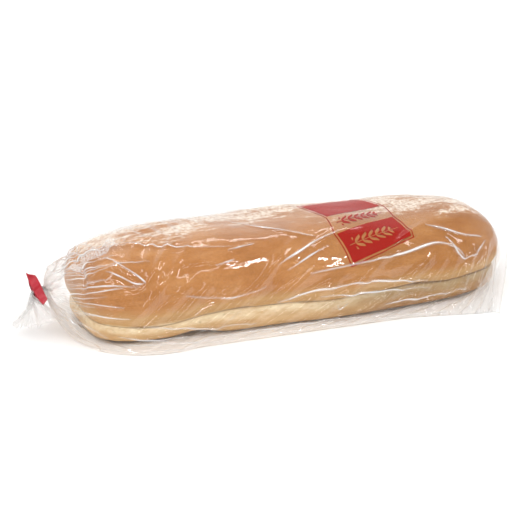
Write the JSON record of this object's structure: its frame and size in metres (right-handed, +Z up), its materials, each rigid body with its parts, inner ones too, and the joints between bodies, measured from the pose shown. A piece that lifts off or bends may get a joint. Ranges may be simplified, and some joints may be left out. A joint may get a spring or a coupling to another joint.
{
  "type": "bagged ciabatta loaf",
  "caption": "Long flat-topped ciabatta loaf lying in a clear film bag, the gathered neck closed with a folded strip of tape.",
  "frame": {"origin": "middle of the footprint box, on the surface the bag lies on", "axes": "+X along the loaf, away from the bag's neck; +Z up; the camera-side flank of the loaf faces -Y"},
  "size_m": [0.421, 0.182, 0.0749],
  "materials": {
    "crust": "dry matt baked crust, golden brown, paler along the side crease, dusted with flour on top",
    "film": "clear glossy polypropylene film, creased, with a plain red printed patch",
    "tape": "smooth red adhesive tape"
  },
  "bodies": {
    "root": {"loaf": "crust", "bag": "film", "neck_tape": "tape"}
  },
  "joints": []
}
